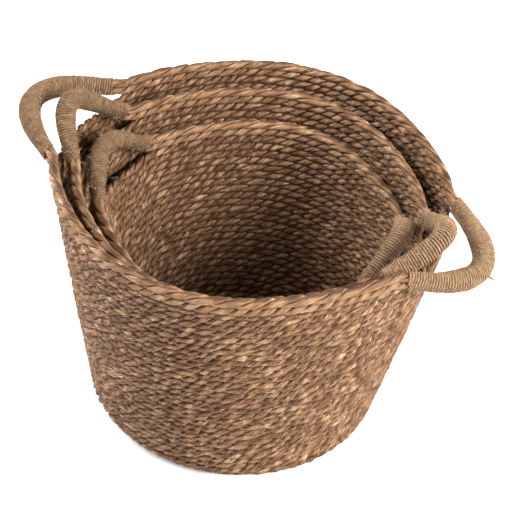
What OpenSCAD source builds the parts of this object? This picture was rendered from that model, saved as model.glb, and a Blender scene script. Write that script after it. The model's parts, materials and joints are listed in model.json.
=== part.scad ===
// Nest of three round coiled-rope baskets, each with two loop handles.
// Origin: centre of the large base, on the surface it stands on. Handles point along X.

/* [Rope and yarn] */
// Thickness of the twisted leaf rope, which is also the height of one row
rope_d = 9; // [7:0.5:11]
// Thickness of the jute yarn wound round the handles
yarn_d = 2.2; // [1.5:0.1:3]
// Thickness of the squeezed pair of ropes inside a handle wrap
grip_core_d = 15.4; // [11:0.2:17]

/* [Large basket] */
// Mean outer diameter at the rim
large_rim_d = 420; // [340:5:520]
// Outer diameter at the foot of the wall
large_base_d = 320; // [260:5:390]
// Height from the underside to the top of the rim
large_h = 295; // [240:5:360]

/* [Medium basket] */
// Room between its rim and the large wall
medium_rim_room = 13.4; // [12:0.2:24]
// Room between its wall and the large one at the foot
medium_base_room = 7; // [7:0.5:14]
// How much lower than the large basket it is
medium_step_down = 25; // [22:1:40]

/* [Small basket] */
// Room between its rim and the medium wall
small_rim_room = 8.5; // [7.5:0.5:24]
// Room between its wall and the medium one at the foot
small_base_room = 7; // [6:0.5:14]
// How much lower than the medium basket it is
small_step_down = 39; // [35:1:50]

/* [Basket shape] */
// Outer radius of the rounded edge between base and wall
corner_r = 20; // [14:1:30]
// How much fuller the wall is than a straight cone, as a share of its flare
wall_belly = 0.08; // [0:0.01:0.2]
// How far the handles pull the rim out of round
rim_oval = 1.9; // [0:0.1:6]
// How far the rim bulges at four sides
rim_square = 4.8; // [0:0.1:8]
// How far the wall edge sinks below the two missing rows under a handle
wall_dip = 8; // [0:0.5:10]

/* [Handles] */
// Half the distance between the places where the rim rows leave the wall, large to small
handle_span = [80, 66, 64]; // [55:1:90]
// Length over which the rows still follow the rim as they leave it, large to small
handle_start = [24, 36, 14]; // [5:1:40]
// Outward pull of the loop, large to small
handle_pull = [102, 86, 62]; // [50:1:110]
// Inward pull that narrows the loop towards its tip, large to small
handle_taper = [43, 48, 60]; // [30:1:70]
// Lean of the left loops above level, in degrees, large to small
lean_left = [9, 41, 52]; // [-15:1:80]
// Lean of the right loops above level, in degrees, large to small
lean_right = [-12, 42, 66]; // [-15:1:80]
// Share of the loop at each end that the yarn leaves bare
bare_share = 0.13; // [0.1:0.01:0.2]

/* [Nesting] */
// Play between the base of one basket and the base it stands on
nest_gap = 0.5; // [0.3:0.1:2]
// Shift of the medium basket off the centre of the large one
medium_shift = [1, -6]; // [-6:0.5:6]
// Shift of the small basket off the centre of the large one
small_shift = [3.5, -3.5]; // [-6:0.5:6]
// Turn of the medium basket against the large one, in degrees
medium_turn = -1; // [-4:0.5:4]
// Turn of the small basket against the large one, in degrees
small_turn = 2; // [-4:0.5:4]

/* [Hidden] */
$fn = 96;

large = 0;
medium = 1;
small = 2;
nest_lift = rope_d + nest_gap;     // one base stands this much above the next
medium_h = large_h - medium_step_down;
small_h = medium_h - small_step_down;
large_rim_r = large_rim_d / 2;
large_base_r = large_base_d / 2;
medium_base_r = large_base_r - rope_d - medium_base_room;
small_base_r = medium_base_r - rope_d - small_base_room;
medium_rim_r = bulged(large_base_r, large_rim_r, (medium_h + nest_lift - corner_r) / (large_h - corner_r))
    - rope_d - medium_rim_room;
small_rim_r = bulged(medium_base_r, medium_rim_r, (small_h + nest_lift - corner_r) / (medium_h - corner_r))
    - rope_d - small_rim_room;
rim_r = [large_rim_r, medium_rim_r, small_rim_r];
base_r = [large_base_r, medium_base_r, small_base_r];
tall = [large_h, medium_h, small_h];
loose_rows = 2;                   // rows that leave the wall to make the handles
rim_h = loose_rows * rope_d;      // height of those rows
flex_gap = 2.2;                   // room for a handle to bend at its yarn ends
dip_speed = 2.2;                  // how soon the wall edge sinks beyond a bare handle end
yarn_play = 0.15;                 // space between rope pair and yarn
squeeze_share = 0.22;             // share of the loop over which the pair is squeezed round
tiny = 0.001;                     // small step for measuring along a loop
heading_step = 1;                 // degrees either side for measuring the rim's direction
row_arc = 36;                     // degrees between points over the top of the rim rows
wall_steps = 72;                  // flats round a wall
wall_levels = 6;                  // rings up a wall
rim_steps = 26;                   // rings along one rim arc
bare_steps = 3;                   // rings along a bare handle end
loop_steps = 18;                  // rings along a wrapped loop
ring_sides = 12;                  // sides of a rope section
right_side = 0;                   // azimuth of the right handles
left_side = 180;                  // azimuth of the left handles

// ---- Small helpers -------------------------------------------------------------------
function unit(v) = v / norm(v);
function across(v, along) = unit(v - (v * along) * along);
function smooth(x) = let (c = min(1, max(0, x))) c * c * (3 - 2 * c);
function mix(a, b, x) = a * (1 - x) + b * x;

// Radius at a share of the way from foot to rim, fuller than a straight cone
function bulged(foot, rim, share) = mix(foot, rim, share + wall_belly * share * (1 - share));

// ---- Basket form ---------------------------------------------------------------------
// Outer radius of the rim at an azimuth: widest towards the handles
function rim_radius(size, azimuth) =
    rim_r[size] + rim_oval * cos(2 * azimuth) + rim_square * cos(4 * azimuth);

// Outer radius of the wall at a share of its height above the rounded edge
function wall_radius(size, azimuth, share) =
    bulged(base_r[size], rim_radius(size, azimuth), share);

// Share of the wall's height at a level above the underside
function wall_share(size, level) = (level - corner_r) / (tall[size] - corner_r);

// Azimuth difference between a handle's middle and where its rows leave the wall
function leave_angle(size) = asin(handle_span[size] / (rim_r[size] - rope_d / 2));

// Angle from an azimuth to the nearer handle
function handle_offset(azimuth) = let (a = (azimuth + 360) % 180) min(a, 180 - a);

// Level of the wall's upper edge: two rows lower than the rim, and sunk under the handles
function edge_level(size, azimuth) =
    tall[size] - rim_h - wall_dip * smooth(dip_speed * (1 - handle_offset(azimuth) / leave_angle(size)));

// ---- Handle form ---------------------------------------------------------------------
// Middle of the two rim rows at an azimuth
function rim_centre(size, azimuth) =
    let (level = tall[size] - rim_h / 2,
         r = wall_radius(size, azimuth, wall_share(size, level)) - rope_d / 2)
    [r * cos(azimuth), r * sin(azimuth), level];

// Unit vector in which a loop points
function loop_out(size, side) =
    let (lean = side == right_side ? lean_right[size] : lean_left[size])
    [cos(side) * cos(lean), sin(side) * cos(lean), sin(lean)];

// Direction of the rim at an azimuth, towards rising azimuth
function rim_heading(size, azimuth) =
    unit(rim_centre(size, azimuth + heading_step) - rim_centre(size, azimuth - heading_step));

// Control points of the loop, in the order of rising azimuth: it leaves along the rim
function loop_poles(size, side) =
    let (from = side - leave_angle(size),
         to = side + leave_angle(size),
         a = rim_centre(size, from),
         b = rim_centre(size, to),
         pull = handle_pull[size] * loop_out(size, side),
         narrow = handle_taper[size] * unit(b - a))
    [a, a + handle_start[size] * rim_heading(size, from), a + pull + narrow,
     b + pull - narrow, b - handle_start[size] * rim_heading(size, to), b];

// Point of the smooth curve that a list of poles draws, t from 0 to 1
function curve_point(poles, t) = len(poles) == 1 ? poles[0]
    : curve_point([for (i = [0:len(poles) - 2]) mix(poles[i], poles[i + 1], t)], t);

function curve_heading(poles, t) =
    unit(curve_point([for (i = [0:len(poles) - 2]) poles[i + 1] - poles[i]], t));

// Direction in which the two ropes are stacked: upright at the wall, square to the loop beyond
function loop_stack(size, side, poles, t) =
    let (flat_up = unit(cross(loop_out(size, side), unit(poles[5] - poles[0]))),
         lift = flat_up[2] < 0 ? -flat_up : flat_up)
    mix([0, 0, 1], lift, smooth(min(t, 1 - t) / (2 * bare_share)));

// ---- Rings of points -----------------------------------------------------------------
// Oval ring of half width w and half height h, square to the heading
function oval_ring(centre, heading, up, w, h) =
    let (u = across(up, heading), s = cross(heading, u))
    [for (i = [0:ring_sides - 1]) let (a = i * 360 / ring_sides)
        centre + w * cos(a) * s + h * sin(a) * u];

// Section of the two rim rows: flat below where they sit on the wall, round above
function row_ring(centre, heading, up) =
    let (u = across(up, heading), s = cross(heading, u), w = rope_d / 2, h = rim_h / 2)
    concat([centre - w * s - h * u, centre + w * s - h * u],
           [for (a = [0:row_arc:180]) centre + w * cos(a) * s + (h - w + w * sin(a)) * u]);

// How far a place on the loop is from its bare ends towards the round grip, 0 to 1
function grip_share(t) = smooth((min(t, 1 - t) - bare_share) / squeeze_share);

function core_ring(size, side, poles, t, extra) =
    oval_ring(curve_point(poles, t), curve_heading(poles, t), loop_stack(size, side, poles, t),
              mix(rope_d, grip_core_d, grip_share(t)) / 2 + extra,
              mix(rim_h, grip_core_d, grip_share(t)) / 2 + extra);

// Places along a loop between its yarn ends; the gap is kept free at both
function grip_stations(poles, gap) =
    let (stride = curve_point(poles, bare_share + tiny) - curve_point(poles, bare_share),
         first = bare_share + gap * tiny / norm(stride))
    [for (i = [0:loop_steps]) mix(first, 1 - first, i / loop_steps)];

function bare_rings(size, side, stations) =
    let (poles = loop_poles(size, side))
    [for (t = stations)
        row_ring(curve_point(poles, t), curve_heading(poles, t), [0, 0, 1])];

// ---- Solids from rings ---------------------------------------------------------------
function side_faces(n, rings, first) = [
    for (i = [0:rings - 2]) for (j = [0:n - 1])
        let (a = first + i * n + j, b = first + i * n + (j + 1) % n)
        each [[a, b, b + n], [a, b + n, a + n]]];

function flipped(faces) = [for (f = faces) [f[2], f[1], f[0]]];

module rope(rings) {
    n = len(rings[0]);
    last = (len(rings) - 1) * n;
    polyhedron([for (r = rings) each r],
        concat(side_faces(n, len(rings), 0),
               [[for (j = [n - 1:-1:0]) j]], [[for (j = [0:n - 1]) last + j]]));
}

module sleeve(outer, inner) {
    n = len(outer[0]);
    rings = len(outer);
    turn = rings * n;
    far = (rings - 1) * n;
    ends = [for (j = [0:n - 1]) let (k = (j + 1) % n) each [
        [j, turn + k, k], [j, turn + j, turn + k],
        [far + j, far + k, turn + far + k], [far + j, turn + far + k, turn + far + j]]];
    polyhedron(concat([for (r = outer) each r], [for (r = inner) each r]),
        concat(side_faces(n, rings, 0), flipped(side_faces(n, rings, turn)), ends));
}

module hoop(rings) {
    n = len(rings[0]);
    m = len(rings);
    polyhedron([for (r = rings) each r],
        [for (i = [0:m - 1]) for (j = [0:n - 1])
            let (a = i * n + j, b = i * n + (j + 1) % n,
                 c = ((i + 1) % m) * n + j, d = ((i + 1) % m) * n + (j + 1) % n)
            each [[a, b, d], [a, d, c]]]);
}

// ---- Pieces of one basket ------------------------------------------------------------
// Flat spiral of rope with its turned-up edge
module base_coil(size) {
    flat_r = base_r[size] - corner_r;
    rotate_extrude() {
        square([flat_r, rope_d]);
        translate([flat_r, corner_r]) intersection() {
            difference() {
                circle(r = corner_r);
                circle(r = corner_r - rope_d);
            }
            translate([0, -corner_r]) square(corner_r);
        }
    }
}

// Rows of rope that rise and flare from the base to the two rim rows
module wall_coil(size) {
    hoop([for (i = [0:wall_steps - 1])
        let (azimuth = i * 360 / wall_steps,
             top = edge_level(size, azimuth),
             levels = [for (k = [0:wall_levels]) mix(corner_r, top, k / wall_levels)],
             radii = [for (z = levels) wall_radius(size, azimuth, wall_share(size, z))])
        concat([for (k = [0:wall_levels])
                   [radii[k] * cos(azimuth), radii[k] * sin(azimuth), levels[k]]],
               [for (k = [wall_levels:-1:0])
                   [(radii[k] - rope_d) * cos(azimuth), (radii[k] - rope_d) * sin(azimuth),
                    levels[k]]])]);
}

// The two top rows from one handle round to the other, with their bare ends
module rim_pair(size, from_side) {
    start = from_side + leave_angle(size);
    finish = from_side + 180 - leave_angle(size);
    share = bare_share / bare_steps;
    before = [for (i = [bare_steps:-1:1]) 1 - i * share];
    after = [for (i = [1:bare_steps]) i * share];
    rope(concat(bare_rings(size, from_side, before),
        [for (i = [0:rim_steps]) let (a = mix(start, finish, i / rim_steps))
            row_ring(rim_centre(size, a), rim_heading(size, a), [0, 0, 1])],
        bare_rings(size, (from_side + 180) % 360, after)));
}

// The same two rows inside a handle, squeezed together by the yarn
module handle_core(size, side) {
    poles = loop_poles(size, side);
    rope([for (t = grip_stations(poles, flex_gap)) core_ring(size, side, poles, t, 0)]);
}

// Jute yarn wound closely round the handle
module handle_wrap(size, side) {
    poles = loop_poles(size, side);
    stations = grip_stations(poles, flex_gap);
    sleeve([for (t = stations) core_ring(size, side, poles, t, yarn_play + yarn_d)],
           [for (t = stations) core_ring(size, side, poles, t, yarn_play)]);
}

// Place of each basket in the nest
module nested(size) {
    lift = size * nest_lift;
    shift = [[0, 0], medium_shift, small_shift][size];
    turn = [0, medium_turn, small_turn][size];
    translate([shift[0], shift[1], lift]) rotate(turn) children();
}

leaf = "#b08a5e";
rim_leaf = "#c6a37a";
jute = "#a5855f";

module large_base_coil() color(leaf) nested(large) base_coil(large);
module large_wall_coil() color(leaf) nested(large) wall_coil(large);
module large_rim_front() color(rim_leaf) nested(large) rim_pair(large, left_side);
module large_rim_back() color(rim_leaf) nested(large) rim_pair(large, right_side);
module large_handle_core_left() color(leaf) nested(large) handle_core(large, left_side);
module large_handle_core_right() color(leaf) nested(large) handle_core(large, right_side);
module large_handle_wrap_left() color(jute) nested(large) handle_wrap(large, left_side);
module large_handle_wrap_right() color(jute) nested(large) handle_wrap(large, right_side);

module medium_base_coil() color(leaf) nested(medium) base_coil(medium);
module medium_wall_coil() color(leaf) nested(medium) wall_coil(medium);
module medium_rim_front() color(rim_leaf) nested(medium) rim_pair(medium, left_side);
module medium_rim_back() color(rim_leaf) nested(medium) rim_pair(medium, right_side);
module medium_handle_core_left() color(leaf) nested(medium) handle_core(medium, left_side);
module medium_handle_core_right() color(leaf) nested(medium) handle_core(medium, right_side);
module medium_handle_wrap_left() color(jute) nested(medium) handle_wrap(medium, left_side);
module medium_handle_wrap_right() color(jute) nested(medium) handle_wrap(medium, right_side);

module small_base_coil() color(leaf) nested(small) base_coil(small);
module small_wall_coil() color(leaf) nested(small) wall_coil(small);
module small_rim_front() color(rim_leaf) nested(small) rim_pair(small, left_side);
module small_rim_back() color(rim_leaf) nested(small) rim_pair(small, right_side);
module small_handle_core_left() color(leaf) nested(small) handle_core(small, left_side);
module small_handle_core_right() color(leaf) nested(small) handle_core(small, right_side);
module small_handle_wrap_left() color(jute) nested(small) handle_wrap(small, left_side);
module small_handle_wrap_right() color(jute) nested(small) handle_wrap(small, right_side);

large_base_coil();
large_wall_coil();
large_rim_front();
large_rim_back();
large_handle_core_left();
large_handle_core_right();
large_handle_wrap_left();
large_handle_wrap_right();
medium_base_coil();
medium_wall_coil();
medium_rim_front();
medium_rim_back();
medium_handle_core_left();
medium_handle_core_right();
medium_handle_wrap_left();
medium_handle_wrap_right();
small_base_coil();
small_wall_coil();
small_rim_front();
small_rim_back();
small_handle_core_left();
small_handle_core_right();
small_handle_wrap_left();
small_handle_wrap_right();
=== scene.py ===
import json
import math

import bpy
from mathutils import Matrix, Vector, noise


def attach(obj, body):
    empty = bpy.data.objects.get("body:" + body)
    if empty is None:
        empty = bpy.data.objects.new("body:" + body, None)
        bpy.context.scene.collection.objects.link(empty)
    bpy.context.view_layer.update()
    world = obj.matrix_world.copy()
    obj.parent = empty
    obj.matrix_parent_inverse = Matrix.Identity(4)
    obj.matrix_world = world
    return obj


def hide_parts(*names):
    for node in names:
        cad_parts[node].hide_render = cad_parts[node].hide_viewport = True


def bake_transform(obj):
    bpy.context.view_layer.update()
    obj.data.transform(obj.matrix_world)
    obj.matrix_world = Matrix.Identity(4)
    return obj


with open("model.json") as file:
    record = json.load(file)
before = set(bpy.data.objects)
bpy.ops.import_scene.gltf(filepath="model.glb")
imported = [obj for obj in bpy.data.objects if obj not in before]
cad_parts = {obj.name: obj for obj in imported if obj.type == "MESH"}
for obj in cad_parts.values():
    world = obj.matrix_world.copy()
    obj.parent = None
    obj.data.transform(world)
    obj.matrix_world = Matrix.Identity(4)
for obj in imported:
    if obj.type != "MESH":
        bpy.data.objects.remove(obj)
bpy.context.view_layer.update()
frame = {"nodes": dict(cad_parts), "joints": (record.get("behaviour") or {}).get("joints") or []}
mm = 0.001
turn = 2 * math.pi
print("frame loaded:", len(frame["nodes"]), "nodes")


# Small helpers
def hexColour(code, alpha=1.0):
    parts = [int(code[i:i + 2], 16) / 255 for i in (1, 3, 5)]
    linear = [c / 12.92 if c <= 0.04045 else ((c + 0.055) / 1.055) ** 2.4 for c in parts]
    return (*linear, alpha)


def addNode(tree, kind, inputs=None, **settings):
    node = tree.nodes.new(kind)
    for name, value in settings.items():
        setattr(node, name, value)
    for key, value in (inputs or {}).items():
        if isinstance(value, bpy.types.NodeSocket):
            tree.links.new(value, node.inputs[key])
        else:
            node.inputs[key].default_value = value
    return node


def addSocket(tree, name, kind, default=None, direction="INPUT"):
    socket = tree.interface.new_socket(name=name, in_out=direction, socket_type=kind)
    if default is not None:
        socket.default_value = default
    return socket


def mix(a, b, share):
    return a * (1 - share) + b * share


def smooth(x):
    x = min(1.0, max(0.0, x))
    return x * x * (3 - 2 * x)


def rounded(heading, upright):
    # unit vector nearest to upright that is square to the heading
    return (upright - upright.dot(heading) * heading).normalized()


# The baskets, in the sizes of the frame
ropeD = 9.0            # height of one row of rope
rimH = 2 * ropeD       # the two rows that turn into the handles
cornerR = 20.0         # rounded edge between base and wall
wallBelly = 0.08
rimOval = 1.9
rimSquare = 4.8
wallDip = 8.0          # the wall edge sinks under the handles
dipSpeed = 2.2
bareShare = 0.13       # share of a loop before its yarn
squeezeShare = 0.22
gripCoreD = 15.4
yarnD = 2.2
yarnPlay = 0.15
nestStep = 9.5         # one base stands this much above the next

baskets = {
    "large": dict(rimR=210, baseR=160, tall=295, span=80, start=24, pull=102, taper=43,
                  lean={"left": 9, "right": -12}, lift=0, shift=(0, 0), twist=0,
                  wrapFrom=0.098, wallParts=3, seed=3, plump=1.6),
    "medium": dict(rimR=185, baseR=144, tall=270, span=66, start=36, pull=86, taper=48,
                   lean={"left": 41, "right": 42}, lift=1, shift=(1, -6), twist=-1,
                   wrapFrom=0.078, wallParts=2, seed=11, plump=0.8),
    "small": dict(rimR=163, baseR=128, tall=231, span=64, start=14, pull=62, taper=60,
                  lean={"left": 52, "right": 66}, lift=2, shift=(3.5, -3.5), twist=2,
                  wrapFrom=0.070, wallParts=2, seed=23, plump=0.3),
}
sides = {"right": 0.0, "left": 180.0}


def rimRadius(b, azimuth):
    a = math.radians(azimuth)
    return b["rimR"] + rimOval * math.cos(2 * a) + rimSquare * math.cos(4 * a)


def wallRadius(b, azimuth, level):
    share = (level - cornerR) / (b["tall"] - cornerR)
    return mix(b["baseR"], rimRadius(b, azimuth), share + wallBelly * share * (1 - share))


def leaveAngle(b):
    return math.degrees(math.asin(b["span"] / (b["rimR"] - ropeD / 2)))


def edgeLevel(b, azimuth):
    a = azimuth % 180
    offset = min(a, 180 - a)
    return b["tall"] - rimH - wallDip * smooth(dipSpeed * (1 - offset / leaveAngle(b)))


def onCircle(radius, azimuth, level):
    a = math.radians(azimuth)
    return Vector((radius * math.cos(a), radius * math.sin(a), level))


def rimCentre(b, azimuth):
    level = b["tall"] - rimH / 2
    return onCircle(wallRadius(b, azimuth, level) - ropeD / 2, azimuth, level)


def rimHeading(b, azimuth):
    return (rimCentre(b, azimuth + 1) - rimCentre(b, azimuth - 1)).normalized()


def loopOut(b, side):
    lean = math.radians(b["lean"][side])
    a = math.radians(sides[side])
    return Vector((math.cos(a) * math.cos(lean), math.sin(a) * math.cos(lean), math.sin(lean)))


def loopPoles(b, side):
    before, after = sides[side] - leaveAngle(b), sides[side] + leaveAngle(b)
    start, end = rimCentre(b, before), rimCentre(b, after)
    pull = b["pull"] * loopOut(b, side)
    narrow = b["taper"] * (end - start).normalized()
    return [start, start + b["start"] * rimHeading(b, before), start + pull + narrow,
            end + pull - narrow, end - b["start"] * rimHeading(b, after), end]


def curvePoint(poles, t):
    while len(poles) > 1:
        poles = [mix(p, q, t) for p, q in zip(poles, poles[1:])]
    return poles[0]


def curveHeading(poles, t):
    return curvePoint([q - p for p, q in zip(poles, poles[1:])], t).normalized()


def loopStack(b, side, poles, t):
    flat = loopOut(b, side).cross((poles[5] - poles[0]).normalized()).normalized()
    flat = -flat if flat.z < 0 else flat
    return mix(Vector((0, 0, 1)), flat, smooth(min(t, 1 - t) / (2 * bareShare)))


def placed(b, point):
    # from a basket's own frame in mm to the shared frame in metres
    spin = Matrix.Rotation(math.radians(b["twist"]), 3, "Z")
    return (spin @ point + Vector((*b["shift"], b["lift"] * nestStep))) * mm


def turned(b, direction):
    return Matrix.Rotation(math.radians(b["twist"]), 3, "Z") @ direction


def pathMesh(name, stations):
    # stations: (point, upright, distance along the rope, thickness); gives a line of edges with attributes
    mesh = bpy.data.meshes.new(name)
    mesh.from_pydata([s[0] for s in stations], [(i, i + 1) for i in range(len(stations) - 1)], [])
    upright = mesh.attributes.new("upright", "FLOAT_VECTOR", "POINT")
    upright.data.foreach_set("vector", [c for s in stations for c in s[1]])
    for label, column in (("along", 2), ("thick", 3)):
        layer = mesh.attributes.new(label, "FLOAT", "POINT")
        layer.data.foreach_set("value", [s[column] for s in stations])
    return mesh


def withLengths(b, places, startLength=0.0, taper=(0.0, 0.0)):
    # places: (point in mm, upright); adds the distance along and the tapering ends
    points = [placed(b, p) for p, _ in places]
    along = [startLength]
    for p, q in zip(points, points[1:]):
        along.append(along[-1] + (q - p).length)
    stations = []
    for (_, upright), point, s in zip(places, points, along):
        thick = 1.0
        for reach, far in ((taper[0], s - along[0]), (taper[1], along[-1] - s)):
            if reach:
                thick = min(thick, math.sqrt(max(0.02, min(1.0, far / (reach * mm)))))
        stations.append((point, turned(b, upright), s, thick))
    return stations


# Rope tree: two leaf strands twisted round each other along a line
# noise frequencies are per metre, along the rope and then across it
strands = dict(lumpAt=(45.0, 90.0, 90.0), lumpFrom=0.86, lumpTo=1.14, creaseAt=(110.0, 520.0, 520.0),
               wanderAt=16.0, driftAt=22.0)


def buildRopeTree():
    tree = bpy.data.node_groups.new("twistedRope", "GeometryNodeTree")
    addSocket(tree, "Geometry", "NodeSocketGeometry")
    addSocket(tree, "Geometry", "NodeSocketGeometry", direction="OUTPUT")
    addSocket(tree, "Strand Offset", "NodeSocketFloat", 2.0 * mm)
    addSocket(tree, "Strand Bulge", "NodeSocketFloat", 2.7 * mm)
    addSocket(tree, "Strand Height", "NodeSocketFloat", 3.7 * mm)
    addSocket(tree, "Half Angle", "NodeSocketFloat", 2.4)
    addSocket(tree, "Twist Pitch", "NodeSocketFloat", 28 * mm)
    addSocket(tree, "Twist Wander", "NodeSocketFloat", 0.8)
    addSocket(tree, "Ring Spacing", "NodeSocketFloat", 2.2 * mm)
    addSocket(tree, "Points per Strand", "NodeSocketInt", 6)
    addSocket(tree, "Row Limit", "NodeSocketFloat", 4.6 * mm)
    addSocket(tree, "Drift", "NodeSocketFloat", 0.5 * mm)
    addSocket(tree, "Crease", "NodeSocketFloat", 0.3 * mm)
    addSocket(tree, "Seed", "NodeSocketFloat", 1.0)
    addSocket(tree, "Material", "NodeSocketMaterial")
    given = addNode(tree, "NodeGroupInput").outputs
    math2, vec = "ShaderNodeMath", "ShaderNodeVectorMath"

    line = addNode(tree, "GeometryNodeMeshToCurve", {"Mesh": given["Geometry"]})
    line = addNode(tree, "GeometryNodeResampleCurve",
                   {"Curve": line.outputs[0], "Length": given["Ring Spacing"]}, mode="LENGTH")
    tangent = addNode(tree, "GeometryNodeInputTangent").outputs[0]
    place = addNode(tree, "GeometryNodeInputPosition").outputs[0]
    held = addNode(tree, "GeometryNodeCaptureAttribute", {"Geometry": line.outputs[0]}, domain="POINT")
    held.capture_items.new("VECTOR", "Centre")
    held.capture_items.new("VECTOR", "Heading")
    tree.links.new(place, held.inputs["Centre"])
    tree.links.new(tangent, held.inputs["Heading"])
    centre, heading = held.outputs["Centre"], held.outputs["Heading"]

    sides = addNode(tree, math2, {0: given["Points per Strand"], 1: 2.0}, operation="MULTIPLY").outputs[0]
    ring = addNode(tree, "GeometryNodeCurvePrimitiveCircle", {"Resolution": sides, "Radius": mm})
    index = addNode(tree, "GeometryNodeInputIndex").outputs[0]
    ringHeld = addNode(tree, "GeometryNodeCaptureAttribute", {"Geometry": ring.outputs[0]}, domain="POINT")
    ringHeld.capture_items.new("FLOAT", "Ring Place")
    tree.links.new(index, ringHeld.inputs["Ring Place"])
    ringPlace = ringHeld.outputs["Ring Place"]
    tube = addNode(tree, "GeometryNodeCurveToMesh",
                   {"Curve": held.outputs["Geometry"], "Profile Curve": ringHeld.outputs["Geometry"],
                    "Fill Caps": True}).outputs[0]

    along = addNode(tree, "GeometryNodeInputNamedAttribute", {"Name": "along"}, data_type="FLOAT").outputs[0]
    thick = addNode(tree, "GeometryNodeInputNamedAttribute", {"Name": "thick"}, data_type="FLOAT").outputs[0]
    upright = addNode(tree, "GeometryNodeInputNamedAttribute", {"Name": "upright"},
                      data_type="FLOAT_VECTOR").outputs[0]

    # which strand, and where on it
    share = addNode(tree, math2, {0: ringPlace, 1: given["Points per Strand"]}, operation="DIVIDE").outputs[0]
    strand = addNode(tree, math2, {0: share}, operation="FLOOR").outputs[0]
    local = addNode(tree, math2, {0: share, 1: strand}, operation="SUBTRACT").outputs[0]
    local = addNode(tree, math2, {0: local, 1: 2.0, 2: -1.0}, operation="MULTIPLY_ADD").outputs[0]
    angle = addNode(tree, math2, {0: local, 1: given["Half Angle"]}, operation="MULTIPLY").outputs[0]
    flip = addNode(tree, math2, {0: strand, 1: -2.0, 2: 1.0}, operation="MULTIPLY_ADD").outputs[0]
    across = addNode(tree, math2, {0: angle}, operation="COSINE").outputs[0]
    across = addNode(tree, math2, {0: across, 1: given["Strand Bulge"], 2: given["Strand Offset"]},
                     operation="MULTIPLY_ADD").outputs[0]
    across = addNode(tree, math2, {0: across, 1: flip}, operation="MULTIPLY").outputs[0]
    rise = addNode(tree, math2, {0: angle}, operation="SINE").outputs[0]
    rise = addNode(tree, math2, {0: rise, 1: given["Strand Height"]}, operation="MULTIPLY").outputs[0]
    rise = addNode(tree, math2, {0: rise, 1: flip}, operation="MULTIPLY").outputs[0]
    section = addNode(tree, "ShaderNodeCombineXYZ", {"X": across, "Y": rise}).outputs[0]
    section = addNode(tree, vec, {0: section, "Scale": thick}, operation="SCALE").outputs[0]
    across = addNode(tree, "ShaderNodeSeparateXYZ", {0: section})
    leaf = addNode(tree, "ShaderNodeCombineXYZ",
                   {"X": along, "Y": across.outputs[0], "Z": across.outputs[1]}).outputs[0]

    # strands grow and shrink along the rope, and their leaves crease
    lumpAt = addNode(tree, vec, {0: leaf, 1: strands["lumpAt"]}, operation="MULTIPLY").outputs[0]
    lump = addNode(tree, "ShaderNodeTexNoise",
                   {"Vector": lumpAt, "W": given["Seed"], "Scale": 1.0, "Detail": 1.0},
                   noise_dimensions="4D").outputs[0]
    lump = addNode(tree, "ShaderNodeMapRange",
                   {"Value": lump, 1: 0.25, 2: 0.75, 3: strands["lumpFrom"], 4: strands["lumpTo"]}).outputs[0]
    creaseAt = addNode(tree, vec, {0: leaf, 1: strands["creaseAt"]}, operation="MULTIPLY").outputs[0]
    crease = addNode(tree, "ShaderNodeTexNoise",
                     {"Vector": creaseAt, "W": given["Seed"], "Scale": 1.0, "Detail": 2.0},
                     noise_dimensions="4D").outputs[0]
    crease = addNode(tree, math2, {0: crease, 1: 0.5}, operation="SUBTRACT").outputs[0]
    crease = addNode(tree, math2, {0: crease, 1: given["Crease"]}, operation="MULTIPLY").outputs[0]
    outward = addNode(tree, vec, {0: section}, operation="NORMALIZE").outputs[0]
    swell = addNode(tree, vec, {0: section, "Scale": lump}, operation="SCALE").outputs[0]
    creased = addNode(tree, vec, {0: outward, "Scale": crease}, operation="SCALE").outputs[0]
    shaped = addNode(tree, vec, {0: swell, 1: creased}, operation="ADD").outputs[0]

    # left-handed twist whose pitch wanders
    wanderAt = addNode(tree, math2, {0: along, 1: strands["wanderAt"]}, operation="MULTIPLY").outputs[0]
    wander = addNode(tree, "ShaderNodeTexNoise", {"W": wanderAt, "Scale": 1.0, "Detail": 1.0},
                     noise_dimensions="1D").outputs[0]
    wander = addNode(tree, math2, {0: wander, 1: 0.5}, operation="SUBTRACT").outputs[0]
    wander = addNode(tree, math2, {0: wander, 1: given["Twist Wander"]}, operation="MULTIPLY").outputs[0]
    turns = addNode(tree, math2, {0: along, 1: given["Twist Pitch"]}, operation="DIVIDE").outputs[0]
    turns = addNode(tree, math2, {0: turns, 1: wander}, operation="ADD").outputs[0]
    twist = addNode(tree, math2, {0: turns, 1: turn}, operation="MULTIPLY").outputs[0]
    spun = addNode(tree, "ShaderNodeVectorRotate", {"Vector": shaped, "Axis": (0, 0, 1), "Angle": twist},
                   rotation_type="AXIS_ANGLE").outputs[0]
    spun = addNode(tree, "ShaderNodeSeparateXYZ", {0: spun})
    lowLimit = addNode(tree, math2, {0: given["Row Limit"], 1: -1.0}, operation="MULTIPLY").outputs[0]
    pressed = addNode(tree, "ShaderNodeClamp",
                      {"Value": spun.outputs[1], "Min": lowLimit, "Max": given["Row Limit"]})

    side = addNode(tree, vec, {0: heading, 1: upright}, operation="CROSS_PRODUCT").outputs[0]
    side = addNode(tree, vec, {0: side}, operation="NORMALIZE").outputs[0]
    up = addNode(tree, vec, {0: side, 1: heading}, operation="CROSS_PRODUCT").outputs[0]
    sideways = addNode(tree, vec, {0: side, "Scale": spun.outputs[0]}, operation="SCALE").outputs[0]
    upwards = addNode(tree, vec, {0: up, "Scale": pressed.outputs[0]}, operation="SCALE").outputs[0]
    offset = addNode(tree, vec, {0: sideways, 1: upwards}, operation="ADD").outputs[0]

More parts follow.
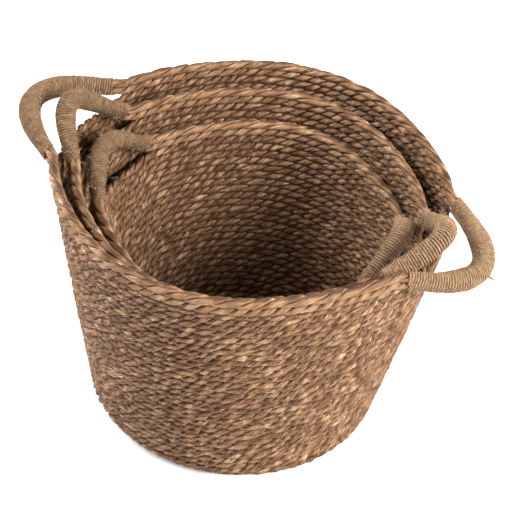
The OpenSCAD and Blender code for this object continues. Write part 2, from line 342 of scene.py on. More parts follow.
    # rows lie a little in and out of line
    drift = addNode(tree, "ShaderNodeTexNoise",
                    {"Vector": centre, "W": given["Seed"], "Scale": strands["driftAt"], "Detail": 1.0},
                    noise_dimensions="4D").outputs[1]
    drift = addNode(tree, vec, {0: drift, 1: (0.5, 0.5, 0.5)}, operation="SUBTRACT").outputs[0]
    drift = addNode(tree, vec, {0: drift, "Scale": given["Drift"]}, operation="SCALE").outputs[0]
    middle = addNode(tree, vec, {0: centre, 1: drift}, operation="ADD").outputs[0]
    final = addNode(tree, vec, {0: middle, 1: offset}, operation="ADD").outputs[0]
    shapedTube = addNode(tree, "GeometryNodeSetPosition", {"Geometry": tube, "Position": final}).outputs[0]

    # the leaf's own coordinates, for the materials
    leafHeld = addNode(tree, "GeometryNodeStoreNamedAttribute",
                       {"Geometry": tube, "Name": "leaf", "Value": leaf},
                       data_type="FLOAT_VECTOR", domain="POINT").outputs[0]
    headed = addNode(tree, "GeometryNodeStoreNamedAttribute",
                     {"Geometry": leafHeld, "Name": "heading", "Value": heading},
                     data_type="FLOAT_VECTOR", domain="POINT").outputs[0]
    # how near each point lies to the edge of its row, for the painted shade between rows
    rowEdge = addNode(tree, math2, {0: pressed.outputs[0]}, operation="ABSOLUTE").outputs[0]
    rowEdge = addNode(tree, math2, {0: rowEdge, 1: given["Row Limit"]}, operation="DIVIDE").outputs[0]
    edged = addNode(tree, "GeometryNodeStoreNamedAttribute",
                    {"Geometry": headed, "Name": "row_edge", "Value": rowEdge},
                    data_type="FLOAT", domain="POINT").outputs[0]
    tree.links.new(edged, shapedTube.node.inputs["Geometry"])
    softened = addNode(tree, "GeometryNodeSetShadeSmooth", {"Geometry": shapedTube}).outputs[0]
    joined = addNode(tree, "GeometryNodeRealizeInstances", {"Geometry": softened}).outputs[0]
    coloured = addNode(tree, "GeometryNodeSetMaterial",
                       {"Geometry": joined, "Material": given["Material"]}).outputs[0]
    addNode(tree, "NodeGroupOutput", {"Geometry": coloured})
    return tree


# Fibre tree: thin curved fibres that stand off a surface
fibres = dict(bowSide=0.7, slimFrom=0.4, tipThick=0.3, smallest=0.45, largest=1.3)


def buildFibreTree():
    tree = bpy.data.node_groups.new("strayFibres", "GeometryNodeTree")
    addSocket(tree, "Geometry", "NodeSocketGeometry")
    addSocket(tree, "Geometry", "NodeSocketGeometry", direction="OUTPUT")
    addSocket(tree, "Count per Area", "NodeSocketFloat", 2000.0)
    addSocket(tree, "Length", "NodeSocketFloat", 14 * mm)
    addSocket(tree, "Thickness", "NodeSocketFloat", 0.3 * mm)
    addSocket(tree, "Flatness", "NodeSocketFloat", 1.0)
    addSocket(tree, "Curl", "NodeSocketFloat", 0.2)
    addSocket(tree, "Stray Angle", "NodeSocketFloat", 0.6)
    addSocket(tree, "Lift Angle", "NodeSocketFloat", 0.3)
    addSocket(tree, "Seed", "NodeSocketInt", 1)
    addSocket(tree, "Material", "NodeSocketMaterial")
    given = addNode(tree, "NodeGroupInput").outputs
    math2, vec = "ShaderNodeMath", "ShaderNodeVectorMath"
    scatter = addNode(tree, "GeometryNodeDistributePointsOnFaces",
                      {"Mesh": given["Geometry"], "Density": given["Count per Area"], "Seed": given["Seed"]})
    half = addNode(tree, math2, {0: given["Length"], 1: 0.5}, operation="MULTIPLY").outputs[0]
    bow = addNode(tree, math2, {0: given["Length"], 1: given["Curl"]}, operation="MULTIPLY").outputs[0]
    bowSide = addNode(tree, math2, {0: bow, 1: fibres["bowSide"]}, operation="MULTIPLY").outputs[0]
    middle = addNode(tree, "ShaderNodeCombineXYZ", {"X": half, "Y": bowSide, "Z": bow}).outputs[0]
    tip = addNode(tree, "ShaderNodeCombineXYZ", {"X": given["Length"]}).outputs[0]
    arc = addNode(tree, "GeometryNodeCurveQuadraticBezier",
                  {"Resolution": 4, "Start": (0, 0, 0), "Middle": middle, "End": tip}).outputs[0]
    section = addNode(tree, "GeometryNodeCurvePrimitiveCircle",
                      {"Resolution": 3, "Radius": given["Thickness"]})
    flat = addNode(tree, "ShaderNodeCombineXYZ", {"X": given["Flatness"], "Y": 1.0, "Z": 1.0}).outputs[0]
    section = addNode(tree, "GeometryNodeTransform",
                      {"Geometry": section.outputs[0], "Scale": flat}).outputs[0]
    progress = addNode(tree, "GeometryNodeSplineParameter").outputs[0]
    slim = addNode(tree, "ShaderNodeMapRange",
                   {"Value": progress, 1: fibres["slimFrom"], 2: 1.0,
                    3: 1.0, 4: fibres["tipThick"]}).outputs[0]
    fibre = addNode(tree, "GeometryNodeCurveToMesh",
                    {"Curve": arc, "Profile Curve": section, "Scale": slim, "Fill Caps": False}).outputs[0]
    headed = addNode(tree, "GeometryNodeInputNamedAttribute", {"Name": "heading"},
                     data_type="FLOAT_VECTOR").outputs[0]
    upright = addNode(tree, "FunctionNodeAlignRotationToVector",
                      {"Vector": scatter.outputs["Normal"]}, axis="Z").outputs[0]
    along = addNode(tree, "FunctionNodeAlignRotationToVector",
                    {"Rotation": upright, "Vector": headed}, axis="X", pivot_axis="Z").outputs[0]
    straySigned = addNode(tree, math2, {0: given["Stray Angle"], 1: -1.0}, operation="MULTIPLY").outputs[0]
    stray = addNode(tree, "FunctionNodeRandomValue",
                    {2: straySigned, 3: given["Stray Angle"], "Seed": given["Seed"]},
                    data_type="FLOAT").outputs[1]
    lift = addNode(tree, "FunctionNodeRandomValue",
                   {2: 0.0, 3: given["Lift Angle"], "Seed": given["Seed"]}, data_type="FLOAT").outputs[1]
    back = addNode(tree, "FunctionNodeRandomValue",
                   {"Probability": 0.5, "Seed": given["Seed"]}, data_type="BOOLEAN").outputs[3]
    halfTurn = addNode(tree, math2, {0: back, 1: math.pi, 2: stray}, operation="MULTIPLY_ADD").outputs[0]
    liftDown = addNode(tree, math2, {0: lift, 1: -1.0}, operation="MULTIPLY").outputs[0]
    aim = addNode(tree, "ShaderNodeCombineXYZ", {"Y": liftDown, "Z": halfTurn}).outputs[0]
    aimRotation = addNode(tree, "FunctionNodeEulerToRotation", {0: aim}).outputs[0]
    facing = addNode(tree, "FunctionNodeRotateRotation",
                     {"Rotation": along, "Rotate By": aimRotation}, rotation_space="LOCAL").outputs[0]
    size = addNode(tree, "FunctionNodeRandomValue",
                   {2: fibres["smallest"], 3: fibres["largest"], "Seed": given["Seed"]},
                   data_type="FLOAT").outputs[1]
    stand = addNode(tree, "GeometryNodeInstanceOnPoints",
                    {"Points": scatter.outputs["Points"], "Instance": fibre,
                     "Rotation": facing, "Scale": size}).outputs[0]
    tone = addNode(tree, "FunctionNodeRandomValue",
                   {2: 0.0, 3: 1.0, "Seed": given["Seed"]}, data_type="FLOAT").outputs[1]
    toned = addNode(tree, "GeometryNodeStoreNamedAttribute",
                    {"Geometry": stand, "Name": "tone", "Value": tone},
                    data_type="FLOAT", domain="INSTANCE").outputs[0]
    whole = addNode(tree, "GeometryNodeRealizeInstances", {"Geometry": toned}).outputs[0]
    coloured = addNode(tree, "GeometryNodeSetMaterial",
                       {"Geometry": whole, "Material": given["Material"]}).outputs[0]
    addNode(tree, "NodeGroupOutput", {"Geometry": coloured})
    return tree


def grow(name, source, tree, values):
    # runs a tree on a mesh and gives back a plain mesh object
    carrier = bpy.data.objects.new(name + "_carrier", source)
    bpy.context.scene.collection.objects.link(carrier)
    modifier = carrier.modifiers.new("grow", "NODES")
    modifier.node_group = tree
    for item in tree.interface.items_tree:
        if item.item_type == "SOCKET" and item.in_out == "INPUT" and item.name in values:
            modifier[item.identifier] = values[item.name]
    graph = bpy.context.evaluated_depsgraph_get()
    mesh = bpy.data.meshes.new_from_object(carrier.evaluated_get(graph), depsgraph=graph)
    mesh.name = name
    bpy.data.objects.remove(carrier)
    piece = bpy.data.objects.new(name, mesh)
    bpy.context.scene.collection.objects.link(piece)
    return piece


# Materials
def newMaterial(name):
    material = bpy.data.materials.new(name)
    material.use_nodes = True
    material.node_tree.nodes.clear()
    return material


strandApart = 31.7     # sets the noise of one strand apart from the other's


def leafMaterial(name, look):
    material = newMaterial(name)
    tree = material.node_tree
    math2, vec = "ShaderNodeMath", "ShaderNodeVectorMath"
    leaf = addNode(tree, "ShaderNodeAttribute", attribute_name="leaf").outputs["Vector"]
    perMetre = {label: tuple(1 / (v * mm) for v in look[label]) for label in ("ply", "fibre", "fold")}
    parts = addNode(tree, "ShaderNodeSeparateXYZ", {0: leaf}).outputs
    strand = addNode(tree, math2, {0: parts[1], 1: 0.0}, operation="GREATER_THAN").outputs[0]
    # each strand's leaf has its own tone, which changes every few centimetres
    toneX = addNode(tree, math2, {0: parts[0], 1: 1 / (look["leafLength"] * mm)},
                    operation="MULTIPLY").outputs[0]
    toneY = addNode(tree, math2, {0: strand, 1: strandApart}, operation="MULTIPLY").outputs[0]
    toneAt = addNode(tree, "ShaderNodeCombineXYZ", {"X": toneX, "Y": toneY}).outputs[0]
    tone = addNode(tree, "ShaderNodeTexNoise",
                   {"Vector": toneAt, "Scale": 1.0, "Detail": 2.0, "Roughness": 0.6}).outputs[0]
    # leaf plies and fibres run along the strand
    plyAt = addNode(tree, vec, {0: leaf, 1: perMetre["ply"]}, operation="MULTIPLY").outputs[0]
    ply = addNode(tree, "ShaderNodeTexNoise", {"Vector": plyAt, "Scale": 1.0, "Detail": 2.0}).outputs[0]
    fibreAt = addNode(tree, vec, {0: leaf, 1: perMetre["fibre"]}, operation="MULTIPLY").outputs[0]
    fibre = addNode(tree, "ShaderNodeTexNoise", {"Vector": fibreAt, "Scale": 1.0, "Detail": 2.0}).outputs[0]
    mixed = tone
    for layer, weight in ((ply, look["plyShare"]), (fibre, look["fibreShare"])):
        centred = addNode(tree, math2, {0: layer, 1: 0.5}, operation="SUBTRACT").outputs[0]
        mixed = addNode(tree, math2, {0: centred, 1: weight, 2: mixed}, operation="MULTIPLY_ADD").outputs[0]
    amount = addNode(tree, "ShaderNodeMapRange",
                     {"Value": mixed, 1: look["darkEnd"], 2: look["paleEnd"]}).outputs[0]
    ramp = addNode(tree, "ShaderNodeValToRGB", {"Fac": amount})
    stops = ramp.color_ramp.elements
    colours = look["colours"]
    for i, code in enumerate(colours):
        stop = stops[i] if i < 2 else stops.new(1.0)
        stop.color = hexColour(code)
    for i, stop in enumerate(stops):
        stop.position = i / (len(colours) - 1)
    # painted shade where the strands meet, deepest in the groove
    flat = addNode(tree, "ShaderNodeCombineXYZ", {"Y": parts[1], "Z": parts[2]}).outputs[0]
    reach = addNode(tree, vec, {0: flat}, operation="LENGTH").outputs["Value"]
    paintedShade = addNode(tree, "ShaderNodeMapRange",
                    {"Value": reach, 1: look["grooveFrom"] * mm, 2: look["grooveTo"] * mm,
                     3: look["grooveShade"], 4: 1.0},
                    interpolation_type="SMOOTHSTEP").outputs[0]
    # thin lines of painted shade in the folds between the plies
    foldAt = addNode(tree, vec, {0: leaf, 1: perMetre["fold"]}, operation="MULTIPLY").outputs[0]
    fold = addNode(tree, "ShaderNodeTexNoise", {"Vector": foldAt, "Scale": 1.0, "Detail": 1.0}).outputs[0]
    fold = addNode(tree, math2, {0: fold, 1: 0.5}, operation="SUBTRACT").outputs[0]
    fold = addNode(tree, math2, {0: fold}, operation="ABSOLUTE").outputs[0]
    folded = addNode(tree, "ShaderNodeMapRange",
                     {"Value": fold, 1: 0.0, 2: look["foldWidth"], 3: look["foldShade"], 4: 1.0}).outputs[0]
    paintedShade = addNode(tree, math2, {0: paintedShade, 1: folded}, operation="MULTIPLY").outputs[0]
    # and painted shade where one turn of yarn meets the next
    edge = addNode(tree, math2, {0: parts[1]}, operation="ABSOLUTE").outputs[0]
    edge = addNode(tree, "ShaderNodeMapRange",
                   {"Value": edge, 1: look["edgeFrom"] * mm, 2: look["edgeTo"] * mm,
                    3: 1.0, 4: look["edgeShade"]}).outputs[0]
    paintedShade = addNode(tree, math2, {0: paintedShade, 1: edge}, operation="MULTIPLY").outputs[0]
    # and painted shade where one row lies on the next
    rowEdge = addNode(tree, "ShaderNodeAttribute", attribute_name="row_edge").outputs["Fac"]
    rowEdge = addNode(tree, "ShaderNodeMapRange",
                      {"Value": rowEdge, 1: look["rowFrom"], 2: 1.0, 3: 1.0, 4: look["rowDark"]}).outputs[0]
    paintedShade = addNode(tree, math2, {0: paintedShade, 1: rowEdge}, operation="MULTIPLY").outputs[0]
    shaded = addNode(tree, "ShaderNodeMix",
                     {0: paintedShade, 6: hexColour(look["shade"]), 7: ramp.outputs[0]}, data_type="RGBA")
    relief = addNode(tree, math2, {0: ply, 1: look["plyRelief"], 2: folded},
                     operation="MULTIPLY_ADD").outputs[0]
    relief = addNode(tree, math2, {0: fibre, 1: look["fibreRelief"], 2: relief},
                     operation="MULTIPLY_ADD").outputs[0]
    bump = addNode(tree, "ShaderNodeBump",
                   {"Strength": 1.0, "Distance": look["bump"] * mm, "Height": relief}).outputs[0]
    smoothest, roughest = look["rough"]
    rough = addNode(tree, "ShaderNodeMapRange",
                    {"Value": ply, 1: 0.3, 2: 0.7, 3: smoothest, 4: roughest}).outputs[0]
    skin = addNode(tree, "ShaderNodeBsdfPrincipled",
                   {"Base Color": shaded.outputs[2], "Roughness": rough, "Normal": bump,
                    "Specular IOR Level": look["gloss"]})
    addNode(tree, "ShaderNodeOutputMaterial", {"Surface": skin.outputs[0]})
    return material


def plainMaterial(name, paleCode, darkCode, rough):
    material = newMaterial(name)
    tree = material.node_tree
    tone = addNode(tree, "ShaderNodeAttribute", attribute_name="tone").outputs["Fac"]
    ramp = addNode(tree, "ShaderNodeValToRGB", {"Fac": tone})
    ramp.color_ramp.elements[0].color = hexColour(darkCode)
    ramp.color_ramp.elements[1].color = hexColour(paleCode)
    skin = addNode(tree, "ShaderNodeBsdfPrincipled", {"Base Color": ramp.outputs[0], "Roughness": rough})
    addNode(tree, "ShaderNodeOutputMaterial", {"Surface": skin.outputs[0]})
    return material


# leafLength, ply, fibre and fold are in mm, along the strand and then across it. Plies and fibres are drawn
# coarser than in real leaf and jute, because true ones would be too fine to see from a normal distance.
# the palest colour of the coil and rim is partly pale leaf and partly painted highlight; shade is the colour
# of the painted shade in seams, folds and between rows
coilLook = dict(leafLength=13, ply=(16, 1.5, 1.5), fibre=(7, 0.4, 0.4), fold=(22, 2.6, 2.6), plyShare=0.85,
                fibreShare=0.5, foldWidth=0.045, foldShade=0.3, darkEnd=0.2, paleEnd=0.92,
                colours=["#40240f", "#775539", "#aa8563", "#e7d4ba"], shade="#3c200d",
                grooveFrom=2.35, grooveTo=3.5, grooveShade=0.1, edgeFrom=50, edgeTo=51, edgeShade=1.0,
                rowFrom=0.72, rowDark=0.12, plyRelief=1.6, fibreRelief=0.5, bump=0.9,
                rough=(0.5, 0.85), gloss=0.3)
rimLook = dict(coilLook, leafLength=22, ply=(26, 2.0, 2.0), fold=(40, 3.5, 3.5), foldWidth=0.02, plyShare=0.4,
               foldShade=0.4, darkEnd=0.12, colours=["#432913", "#775639", "#a68261", "#e3d0b5"], bump=0.6)
yarnLook = dict(coilLook, leafLength=9, ply=(4, 0.6, 0.6), fibre=(3, 0.25, 0.25), fold=(5, 1.2, 1.2),
                darkEnd=0.1, plyShare=0.5, foldShade=0.6, shade="#4a3420",
                colours=["#5f4836", "#83664b", "#a08467", "#cab393"],
                grooveFrom=0.0, grooveTo=0.2, grooveShade=1.0, edgeFrom=0.85, edgeTo=1.3, edgeShade=0.28,
                bump=0.35, rough=(0.85, 0.95), gloss=0.15)
# Twisted leaf: matt folds that catch small pale glints, partly real shine and partly painted highlight in the
# palest colour, with painted shade in the deep brown seams
leafRope = leafMaterial("Dry leaf rope, twisted, matt", coilLook)
# Broad leaf: calm satin lumps, so the rim reads as one smooth edge; its palest colour is partly painted
# highlight, and its seams carry painted shade
rimRope = leafMaterial("Broad leaf rope, smooth, satin", rimLook)
# Jute: nearly no shine, each turn set off by a soft line of painted shade
juteYarn = leafMaterial("Spun jute yarn, hairy, matt", yarnLook)
# Loose leaf fibre: pale hairlines that break up the rows
leafFibre = plainMaterial("Dry leaf fibre, loose, matt", "#dcc5a4", "#8a6c4e", 0.6)
# Jute fuzz: a soft halo that blurs the edge of each handle
juteFibre = plainMaterial("Jute fibre, loose, silky", "#c2a98c", "#83674e", 0.8)
# Inner strands: dead brown, painted shade that closes the gaps between rows
gapShadeLeaf = plainMaterial("Dry leaf rope, inner strands, dark", "#40290f", "#40290f", 0.95)
print("materials made")

ropeTree = buildRopeTree()
fibreTree = buildFibreTree()


def section(offset, bulge, height):
    return {"Strand Offset": offset * mm, "Strand Bulge": bulge * mm, "Strand Height": height * mm,
            "Half Angle": math.acos(-offset / bulge)}


# Coil: one rope from the middle of the base to the edge of the wall
coil = dict(stepShare=0.09, stepAzimuth=16.0, spiralRows=5, stationsPerTurn=150, start=-0.4,
            shape=(2.1, 2.55, 3.5), pitch=28.0, wander=1.1, limit=4.55, crease=1.5,
            startTaper=20.0, endTaper=50.0,
            base=dict(spacing=3.0, points=5, drift=0.2), wall=dict(spacing=2.35, points=6, drift=2.0))


def coilCounts(b):
    flatR = b["baseR"] - cornerR
    bend = (cornerR - ropeD / 2) * math.pi / 2
    baseRows = round((flatR + bend) / ropeD)
    height = b["tall"] - rimH - cornerR
    slant = math.hypot(height, b["rimR"] - b["baseR"])
    return flatR, bend, baseRows, round(slant / ropeD)


def coilPlace(b, azimuth, row):
    # centre of the rope, and the way along the wall, at a row number counted from the middle
    flatR, bend, baseRows, wallRows = coilCounts(b)
    bendR = cornerR - ropeD / 2
    if row < baseRows:
        s = row / baseRows * (flatR + bend)
        if s < flatR:
            return onCircle(s, azimuth, ropeD / 2 + 0.15), Vector((0, 0, 1))
        a = (s - flatR) / bendR
        point = onCircle(flatR + bendR * math.sin(a), azimuth, cornerR - bendR * math.cos(a))
        return point, onCircle(math.cos(a), azimuth, math.sin(a)) + Vector((0, 0, 0.001))
    share = (row - baseRows) / wallRows
    level = mix(cornerR, edgeLevel(b, azimuth), share)
    point = onCircle(wallRadius(b, azimuth, level) - ropeD / 2, azimuth, level)
    above = onCircle(wallRadius(b, azimuth, level + 1) - ropeD / 2, azimuth, level + 1)
    return point, (above - point).normalized()


def coilRow(turns):
    # level rows that step up in one place; a plain spiral near the middle
    k = math.floor(turns)
    f = turns - k
    stepped = smooth((f - 1 + coil["stepShare"]) / coil["stepShare"])
    return k + 0.5 + mix(f, stepped, smooth((k - 1) / coil["spiralRows"]))


def coilStations(b, first, last):
    n = round((last - first) * coil["stationsPerTurn"])
    places = []
    for i in range(n + 1):
        turns = mix(first, last, i / n)
        azimuth = coil["stepAzimuth"] + 360 * turns
        places.append(coilPlace(b, azimuth, coilRow(turns)))
    return places


def makeCoil(name, b):
    _, _, baseRows, wallRows = coilCounts(b)
    stop = baseRows + wallRows - coil["stepShare"] * 0.5
    marks = [coil["start"], baseRows]
    marks += [baseRows + round(wallRows * (i + 1) / b["wallParts"]) for i in range(b["wallParts"])]
    marks[-1] = stop
    length = 0.0
    made = []
    for i, (first, last) in enumerate(zip(marks, marks[1:])):
        part = coil["base"] if i == 0 else coil["wall"]
        taper = (coil["startTaper"] if i == 0 else 0.0, coil["endTaper"] if i == len(marks) - 2 else 0.0)
        stations = withLengths(b, coilStations(b, first, last), length, taper)
        length = stations[-1][2]
        label = f"{name}_base_rows" if i == 0 else f"{name}_wall_rows_{i}"
        source = pathMesh(label + "_path", stations)
        piece = grow(label, source, ropeTree, {
            **section(*coil["shape"]), "Twist Pitch": coil["pitch"] * mm, "Twist Wander": coil["wander"],
            "Ring Spacing": part["spacing"] * mm, "Points per Strand": part["points"],
            "Row Limit": coil["limit"] * mm, "Drift": part["drift"] * mm, "Crease": coil["crease"] * mm,
            "Seed": float(b["seed"]), "Material": leafRope})
        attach(piece, f"{name}_basket")
        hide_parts(f"{name}_base_coil" if i == 0 else f"{name}_wall_coil")
        made.append(piece)
    return made


# Inner strands: a shell in the middle of the wall that closes the gaps between rows, dark as painted shade
# for those gaps
inner = dict(thick=2.4, stepsRound=96, stepsUp=20, firstRow=2, spareRows=2.9)


def makeInner(name, b):
    _, _, baseRows, wallRows = coilCounts(b)
    span = baseRows + wallRows - inner["spareRows"]
    rows = [inner["firstRow"] + span * k / inner["stepsUp"] for k in range(inner["stepsUp"] + 1)]
    verts, faces = [], []
    n = inner["stepsRound"]
    for j in range(n):
        azimuth = 360 * j / n
        outer, back = [], []
        for row in rows:
            point, up = coilPlace(b, azimuth, row)
            around = onCircle(1, azimuth + 90, 0)
            normal = around.cross(up).normalized() * (inner["thick"] / 2)
            outer.append(placed(b, point + normal))
            back.append(placed(b, point - normal))
        verts += outer + back[::-1]
    m = 2 * len(rows)
    for j in range(n):
        for k in range(m):
            a, c = j * m + k, j * m + (k + 1) % m
            d, e = ((j + 1) % n) * m + (k + 1) % m, ((j + 1) % n) * m + k
            faces.append((a, e, d, c))
    mesh = bpy.data.meshes.new(name)
    mesh.from_pydata(verts, [], faces)
    mesh.materials.append(gapShadeLeaf)
    piece = bpy.data.objects.new(f"{name}_inner_strands", mesh)
    bpy.context.scene.collection.objects.link(piece)
    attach(piece, f"{name}_basket")


# Rim: two broad rows from one handle round to the other
rim = dict(topPitch=48.0, lowPitch=29.0, stations=90, bareStations=12, tuck=0.03,
           shape=(2.35, 2.65, 4.0), wander=0.5, spacing=2.0, points=8, limit=4.9, drift=0.8, crease=0.7,
           fillThick=2.4, fillHigh=5.5, fillShort=4, fillLow=2.3)


def rimPlaces(b, fromSide, offset):
    fromAzimuth = sides[fromSide]
    toSide = "right" if fromSide == "left" else "left"
    leave = leaveAngle(b)
    places = []

    def onLoop(side, t):
        poles = loopPoles(b, side)
        up = rounded(curveHeading(poles, t), Vector((0, 0, 1)))
        places.append((curvePoint(poles, t) + offset * up, up))

    reach = bareShare + rim["tuck"]
    for i in range(rim["bareStations"]):
        onLoop(fromSide, 1 - reach * (1 - i / rim["bareStations"]))
    for i in range(rim["stations"] + 1):
        azimuth = mix(fromAzimuth + leave, fromAzimuth + 180 - leave, i / rim["stations"])
        places.append((rimCentre(b, azimuth) + Vector((0, 0, offset)), Vector((0, 0, 1))))
    for i in range(1, rim["bareStations"] + 1):
        onLoop(toSide, reach * i / rim["bareStations"])
    return places


def makeRim(name, b):
    made = []
    for place, fromSide in (("front", "left"), ("back", "right")):
        for row, offset, pitch in (("top", ropeD / 2, rim["topPitch"]), ("low", -ropeD / 2, rim["lowPitch"])):
            label = f"{name}_rim_{place}_{row}_row"
            stations = withLengths(b, rimPlaces(b, fromSide, offset), b["seed"] * 0.37 + offset * 0.01)
            piece = grow(label, pathMesh(label + "_path", stations), ropeTree, {
                **section(*rim["shape"]), "Twist Pitch": pitch * mm, "Twist Wander": rim["wander"],
                "Ring Spacing": rim["spacing"] * mm, "Points per Strand": rim["points"],
                "Row Limit": rim["limit"] * mm, "Drift": rim["drift"] * mm, "Crease": rim["crease"] * mm,
                "Seed": float(b["seed"]) + 5, "Material": rimRope})
            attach(piece, f"{name}_basket")
            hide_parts(f"{name}_rim_{place}")
            made.append(piece)
    return made


# Rim filling: a strip inside the two rows, so that no light comes between them, dark as painted shade for the
# gap
def makeFilling(name, b):
    for place, fromSide in (("front", "left"), ("back", "right")):
        verts, faces = [], []
        places = rimPlaces(b, fromSide, 0)[rim["fillShort"]:-rim["fillShort"]]
        wallFrom, wallTo = rim["bareStations"] - rim["fillShort"], len(places) - rim["bareStations"]
        for i, (point, up) in enumerate(places):
            ahead = (places[min(i + 1, len(places) - 1)][0] - places[max(i - 1, 0)][0]).normalized()
            across = ahead.cross(up) * rim["fillThick"] / 2
            for side, height in ((1, -1), (1, 1), (-1, 1), (-1, -1)):
                low = rim["fillLow"] if height < 0 and wallFrom < i < wallTo else 1.0
                verts.append(placed(b, point + side * across + up * height * low * rim["fillHigh"]))
        for i in range(len(places) - 1):
            for k in range(4):
                a, c = i * 4 + k, i * 4 + (k + 1) % 4
                faces.append((a, c, c + 4, a + 4))
        last = len(verts) - 4
        faces += [(3, 2, 1, 0), (last, last + 1, last + 2, last + 3)]
        mesh = bpy.data.meshes.new(f"{name}_rim_filling_{place}")
        mesh.from_pydata(verts, [], faces)
        mesh.materials.append(gapShadeLeaf)
        piece = bpy.data.objects.new(f"{name}_rim_filling_{place}", mesh)
        bpy.context.scene.collection.objects.link(piece)
        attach(piece, f"{name}_basket")


# Handles: jute yarn wound closely round the two rows
wrap = dict(pitch=2.75, stationsPerTurn=16, swell=0.6, swellReach=14, yarnR=1.32, steps=400,
            spacing=2.6, points=3, limit=2, drift=1.0, crease=0.2, bendFrom=0.002, bendTo=0.012)


roundSection = 0.001   # strand offset so small that the two strands make one round yarn
noTwist = 1000.0       # pitch so long that the yarn doesn't turn


def wrapStations(b, side):
    poles = loopPoles(b, side)
    steps = wrap["steps"]
    first, last = b["wrapFrom"], 1 - b["wrapFrom"]
    marks = [mix(first, last, i / steps) for i in range(steps + 1)]
    lengths = [0.0]
    for p, q in zip(marks, marks[1:]):
        lengths.append(lengths[-1] + (curvePoint(poles, q) - curvePoint(poles, p)).length)
    total = lengths[-1]
    turnsCount = total / wrap["pitch"]
    n = round(turnsCount * wrap["stationsPerTurn"])
    places = []
    k = 0
    for i in range(n + 1):
        s = total * i / n
        while k < steps - 1 and lengths[k + 1] < s:
            k += 1
        t = mix(marks[k], marks[k + 1], (s - lengths[k]) / (lengths[k + 1] - lengths[k]))
        heading = curveHeading(poles, t)
        up = rounded(heading, loopStack(b, side, poles, t))
        across = heading.cross(up)
        grip = smooth((min(t, 1 - t) - bareShare) / squeezeShare)
        bulge = wrap["swell"] * noise.noise(Vector((s / wrap["swellReach"], b["seed"], sides[side])))
        bulge += b["plump"] * grip
        wide = mix(ropeD, gripCoreD, grip) / 2 + yarnPlay + yarnD / 2 + bulge
        high = mix(rimH, gripCoreD, grip) / 2 + yarnPlay + yarnD / 2 + bulge
        a = turn * s / wrap["pitch"]
        direction = across * (wide * math.cos(a)) + up * (high * math.sin(a))
        places.append((curvePoint(poles, t) + direction, direction.normalized()))
    return places


def makeWrap(name, b, side):
    label = f"{name}_handle_yarn_{side}"
    stations = withLengths(b, wrapStations(b, side), b["seed"] + sides[side])
    piece = grow(label, pathMesh(label + "_path", stations), ropeTree, {
        **section(roundSection, wrap["yarnR"], wrap["yarnR"]), "Twist Pitch": noTwist, "Twist Wander": 0.0,
        "Ring Spacing": wrap["spacing"] * mm, "Points per Strand": wrap["points"],
        "Row Limit": wrap["limit"] * mm, "Drift": wrap["drift"] * mm, "Crease": wrap["crease"] * mm,
        "Seed": float(b["seed"]), "Material": juteYarn})
    return piece


def hingeLine(name, side):
    joint = next(j for j in frame["joints"] if j["child"] == f"{name}_handle_{side}")
    return Vector(joint["pos_m"]), Vector(joint["axis"])


def finishHandle(name, b, side, piece, nodes):
    pivot, axis = hingeLine(name, side)
    tip = placed(b, curvePoint(loopPoles(b, side), 0.5))
    out = tip - pivot
    out = (out - out.dot(axis) * axis).normalized()
    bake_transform(piece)
    if nodes:
        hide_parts(*nodes)


# Yarn tails: the knotted ends of the yarn that stick out at two loop tips
tail = dict(at=0.47, steps=6, reach=8.0, bow=0.6, droop=4.0, taper=5.0, spacing=1.0, points=4,
            limit=2, drift=0.4, crease=0.6, loops=[("large", "right"), ("medium", "right")])


def makeTail(name, b, side):
    poles, out = loopPoles(b, side), loopOut(b, side)
    heading = curveHeading(poles, tail["at"])
    start = curvePoint(poles, tail["at"]) + out * (gripCoreD + yarnD) / 2
    places = []
    for i in range(tail["steps"] + 1):
        s = i / tail["steps"]
        bend = heading * tail["reach"] * tail["bow"] - Vector((0, 0, tail["droop"]))
        places.append((start + out * tail["reach"] * s + bend * s * s, heading))
    label = f"{name}_handle_tail_{side}"
    stations = withLengths(b, places, taper=(0.0, tail["taper"]))
    return grow(label, pathMesh(label + "_path", stations), ropeTree, {
        **section(roundSection, wrap["yarnR"], wrap["yarnR"]), "Ring Spacing": tail["spacing"] * mm,
        "Points per Strand": tail["points"], "Row Limit": tail["limit"] * mm, "Drift": tail["drift"] * mm,
        "Crease": tail["crease"] * mm, "Seed": float(b["seed"]), "Material": juteYarn})


madeWalls, madeRims, madeWraps = {}, {}, {}
for name, b in baskets.items():
    madeWalls[name] = makeCoil(name, b)
    makeInner(name, b)
    madeRims[name] = makeRim(name, b)
    makeFilling(name, b)
    print(name, "coil and rim grown")
    for side in sides:
        madeWraps[name, side] = makeWrap(name, b, side)
    print(name, "handles wound")

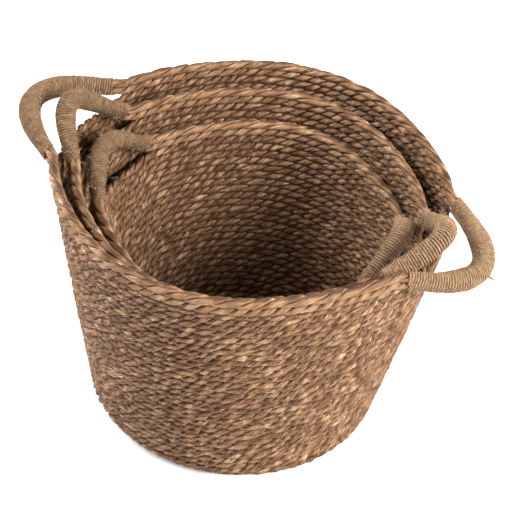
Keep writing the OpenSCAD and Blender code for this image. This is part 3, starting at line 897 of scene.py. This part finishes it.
# Loose fibres
# drawn thicker than real leaf fibre and jute fuzz, so that single hairs show
leafHairs = {"Count per Area": 4500.0, "Length": 7 * mm, "Thickness": 0.15 * mm, "Flatness": 1.0,
             "Curl": 0.16, "Stray Angle": 0.7, "Lift Angle": 0.25, "Material": leafFibre}
yarnHairs = {"Count per Area": 100000.0, "Length": 5.5 * mm, "Thickness": 0.15 * mm, "Flatness": 1.0,
             "Curl": 0.3, "Stray Angle": 1.6, "Lift Angle": 0.9, "Material": juteFibre}
for name, b in baskets.items():
    for piece in madeWalls[name][1:] + madeRims[name]:
        hairs = grow(piece.name.replace("_rows", "_fibres").replace("_row", "_fibres"), piece.data, fibreTree,
                     {**leafHairs, "Seed": b["seed"]})
        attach(hairs, f"{name}_basket")
    for side in sides:
        yarn = madeWraps[name, side]
        hairs = grow(f"{name}_handle_fuzz_{side}", yarn.data, fibreTree, {**yarnHairs, "Seed": b["seed"] + 1})
        finishHandle(name, b, side, yarn, [f"{name}_handle_wrap_{side}"])
        finishHandle(name, b, side, hairs, [])
        if (name, side) in tail["loops"]:
            finishHandle(name, b, side, makeTail(name, b, side), [])
        # the handle core shows only between the turns of yarn, so it takes the painted shade colour too
        core = frame["nodes"][f"{name}_handle_core_{side}"]
        core.data.materials.clear()
        core.data.materials.append(gapShadeLeaf)
print("fibres grown")

# Floor, light and camera
cameraSetup = dict(place=(0.5827, -1.4759, 1.5013), heading=-21.03, tilt=39.76, roll=5.79, lens=135.1)
lights = [
    dict(name="keyRight", place=(2.2, -0.35, 1.6), aim=(0, 0, 0.2), size=1.3, power=142, colour="#fffcf9"),
    dict(name="keyLeft", place=(-2.1, -0.5, 1.6), aim=(0, 0, 0.2), size=1.6, power=92, colour="#ffffff"),
    dict(name="frontFill", place=(0.2, -2.6, 1.9), aim=(0, 0, 0.2), size=1.4, power=22, colour="#ffffff"),
    dict(name="overhead", place=(-0.2, 0.7, 2.6), aim=(0, 0, 0.2), size=1.4, power=34, colour="#ffffff"),
]
worldStrength = 0.2
# the floor gives a little light of its own, so that it stays white
floorLook = dict(reach=15.0, colour="#fcfcfc", rough=0.9, gloss=0.1, glow=0.12)


def addCamera():
    heading, tilt, roll = (math.radians(cameraSetup[k]) for k in ("heading", "tilt", "roll"))
    ahead = Vector((math.sin(heading) * math.cos(tilt), math.cos(heading) * math.cos(tilt), -math.sin(tilt)))
    level = Vector((math.cos(heading), -math.sin(heading), 0))
    rise = level.cross(ahead)
    right = math.cos(roll) * level + math.sin(roll) * rise
    up = math.cos(roll) * rise - math.sin(roll) * level
    data = bpy.data.cameras.new("camera")
    data.lens = cameraSetup["lens"]
    data.sensor_width = 36
    camera = bpy.data.objects.new("camera", data)
    camera.matrix_world = Matrix((right, up, -ahead)).transposed().to_4x4()
    camera.location = cameraSetup["place"]
    bpy.context.scene.collection.objects.link(camera)
    bpy.context.scene.camera = camera


def addLights():
    for light in lights:
        data = bpy.data.lights.new(light["name"], "AREA")
        data.shape = "DISK"
        data.size = light["size"]
        data.energy = light["power"]
        data.color = hexColour(light["colour"])[:3]
        lamp = bpy.data.objects.new(light["name"], data)
        lamp.location = light["place"]
        aim = Vector(light["aim"]) - Vector(light["place"])
        lamp.rotation_euler = aim.to_track_quat("-Z", "Y").to_euler()
        bpy.context.scene.collection.objects.link(lamp)
    world = bpy.data.worlds.new("studio")
    world.use_nodes = True
    world.node_tree.nodes["Background"].inputs["Color"].default_value = (1, 1, 1, 1)
    world.node_tree.nodes["Background"].inputs["Strength"].default_value = worldStrength
    bpy.context.scene.world = world


def addFloor():
    mesh = bpy.data.meshes.new("floor")
    far = floorLook["reach"]
    mesh.from_pydata([(-far, -far, 0), (far, -far, 0), (far, far, 0), (-far, far, 0)], [], [(0, 1, 2, 3)])
    material = newMaterial("Painted studio floor, white, matt")
    tree = material.node_tree
    skin = addNode(tree, "ShaderNodeBsdfPrincipled",
                   {"Base Color": hexColour(floorLook["colour"]), "Roughness": floorLook["rough"],
                    "Specular IOR Level": floorLook["gloss"], "Emission Color": (1, 1, 1, 1),
                    "Emission Strength": floorLook["glow"]})
    addNode(tree, "ShaderNodeOutputMaterial", {"Surface": skin.outputs[0]})
    mesh.materials.append(material)
    floor = bpy.data.objects.new("studio_floor", mesh)
    bpy.context.scene.collection.objects.link(floor)


addCamera()
addLights()
addFloor()
bpy.context.scene.view_settings.view_transform = "Standard"
print("stage set")
